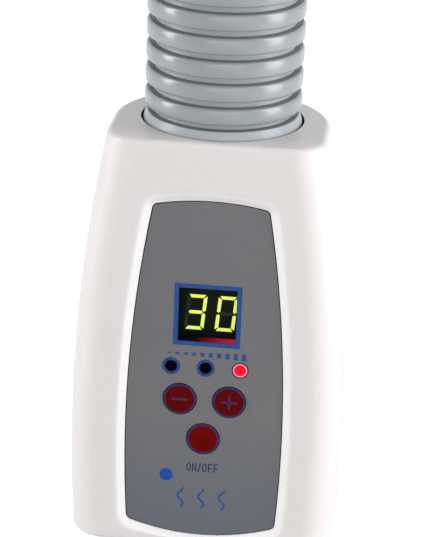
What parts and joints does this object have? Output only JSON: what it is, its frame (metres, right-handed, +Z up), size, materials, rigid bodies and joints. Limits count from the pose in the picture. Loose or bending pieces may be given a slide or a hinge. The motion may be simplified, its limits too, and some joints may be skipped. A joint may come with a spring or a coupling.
{
  "type": "infrared heat lamp",
  "caption": "Table infrared heat lamp: timer control housing on a height-adjustable stem, ribbed flexible neck and flared shade with a red reflector bulb.",
  "frame": {"origin": "centre of the base pad's underside, on the table", "axes": "+Z up; the control panel and the lamp's mouth face -Y; +X is to the right of someone who faces the panel"},
  "size_m": [0.24, 0.46, 0.5901],
  "materials": {
    "shell_white": "smooth satin white moulding",
    "panel_grey": "fine matt grey overlay",
    "key_red": "dark red moulded key",
    "display_black": "black display face",
    "led_clear": "clear and red lamp bodies",
    "hose_grey": "smooth light grey ribbed hose",
    "link_dark": "dark moulded nylon",
    "lamp_white": "white baked enamel",
    "neck_white": "satin white moulding",
    "bulb_silver": "silvered glass",
    "bulb_red": "deep red glass",
    "brass": "plain brass",
    "ceramic_white": "white glaze",
    "steel": "zinc plated",
    "chrome": "bright chrome",
    "black_plastic": "fine textured black",
    "base_white": "satin white powder coat",
    "iron_grey": "rough casting",
    "pad_rubber": "fine matt rubber",
    "board_green": "printed circuit board",
    "aluminium": "plain extrusion",
    "copper_core": "iron core and copper winding"
  },
  "bodies": {
    "base": {"base_pad": "pad_rubber", "base_plate": "steel", "base_weight": "iron_grey", "base_cover": "base_white", "base_screws": "steel", "stem_foot": "aluminium", "stem_outer_tube": "base_white", "stem_trim_ring": "black_plastic", "stem_bush": "black_plastic", "stem_collar": "black_plastic"},
    "knob": {"clamp_knob": "black_plastic"},
    "housing": {"stem_inner_tube": "chrome", "stem_socket": "aluminium", "stem_screws": "steel", "front_shell": "shell_white", "rear_shell": "shell_white", "housing_screws": "steel", "control_panel": "panel_grey", "key_switches": "black_plastic", "display_module": "display_black", "indicator_leds": "led_clear", "control_board": "board_green", "board_screws": "steel", "buzzer": "black_plastic", "power_board": "board_green", "transformer": "copper_core", "heat_sink": "aluminium", "terminal_block": "board_green", "mains_inlet": "black_plastic", "neck_base": "link_dark", "hose_clamp": "steel", "hose_sleeve_0": "hose_grey"},
    "minus_button": {"minus_key": "key_red"},
    "plus_button": {"plus_key": "key_red"},
    "power_button": {"power_key": "key_red"},
    "hose_1": {"hose_link_1": "link_dark", "hose_sleeve_1": "hose_grey"},
    "hose_2": {"hose_link_2": "link_dark", "hose_sleeve_2": "hose_grey"},
    "hose_3": {"hose_link_3": "link_dark", "hose_sleeve_3": "hose_grey"},
    "hose_4": {"hose_link_4": "link_dark", "hose_sleeve_4": "hose_grey"},
    "hose_5": {"hose_link_5": "link_dark", "hose_sleeve_5": "hose_grey"},
    "head": {"neck_end": "link_dark", "neck_nut": "steel", "hose_sleeve_6": "hose_grey", "head_neck": "neck_white", "head_screws": "steel", "rear_cap": "lamp_white", "shade": "lamp_white", "bulb_reflector": "bulb_silver", "bulb_lens": "bulb_red", "bulb_screw_cap": "aluminium", "bulb_filament": "steel", "lampholder": "ceramic_white", "lampholder_contacts": "brass", "wire_guard": "chrome", "guard_clips": "steel"}
  },
  "joints": [
    {"name": "stem_slide", "type": "slide", "parent": "base", "child": "housing", "axis": [0, 0, 1], "range_m": [0, 0.06]},
    {"name": "clamp_knob_turn", "type": "hinge", "parent": "base", "child": "knob", "pos_m": [0, 0.03, 0.114], "axis": [0, 1, 0], "range_deg": [0, 360]},
    {"name": "minus_key_press", "type": "slide", "parent": "housing", "child": "minus_button", "axis": [0, 1, 0], "range_m": [0, 0.0005], "stiffness_N_per_m": 1500, "springref_m": -0.0004},
    {"name": "plus_key_press", "type": "slide", "parent": "housing", "child": "plus_button", "axis": [0, 1, 0], "range_m": [0, 0.0005], "stiffness_N_per_m": 1500, "springref_m": -0.0004},
    {"name": "power_key_press", "type": "slide", "parent": "housing", "child": "power_button", "axis": [0, 1, 0], "range_m": [0, 0.0005], "stiffness_N_per_m": 1500, "springref_m": -0.0004},
    {"name": "hose_lower_bend", "type": "hinge", "parent": "housing", "child": "hose_1", "pos_m": [0, 0, 0.326], "axis": [1, 0, 0], "range_deg": [-15, 15]},
    {"name": "hose_side_bend", "type": "hinge", "parent": "hose_1", "child": "hose_2", "pos_m": [0, 0, 0.3716], "axis": [0, 1, 0], "range_deg": [-15, 15]},
    {"name": "hose_lower_bend_2", "type": "hinge", "parent": "hose_2", "child": "hose_3", "pos_m": [0, -0.00224, 0.41706], "axis": [1, 0, 0], "range_deg": [-15, 15]},
    {"name": "hose_upper_bend", "type": "hinge", "parent": "hose_3", "child": "hose_4", "pos_m": [0, -0.01919, 0.45909], "axis": [1, 0, 0], "range_deg": [-15, 15]},
    {"name": "hose_side_bend_2", "type": "hinge", "parent": "hose_4", "child": "hose_5", "pos_m": [0, -0.05052, 0.49184], "axis": [0, 0.579, 0.8153], "range_deg": [-15, 15]},
    {"name": "hose_upper_bend_2", "type": "hinge", "parent": "hose_5", "child": "head", "pos_m": [0, -0.09177, 0.51063], "axis": [1, 0, 0], "range_deg": [-15, 15]}
  ],
  "couplings": [
    {"joint": "hose_lower_bend_2", "follows": "hose_lower_bend", "ratio": 1},
    {"joint": "hose_side_bend_2", "follows": "hose_side_bend", "ratio": 1},
    {"joint": "hose_upper_bend_2", "follows": "hose_upper_bend", "ratio": 1}
  ]
}
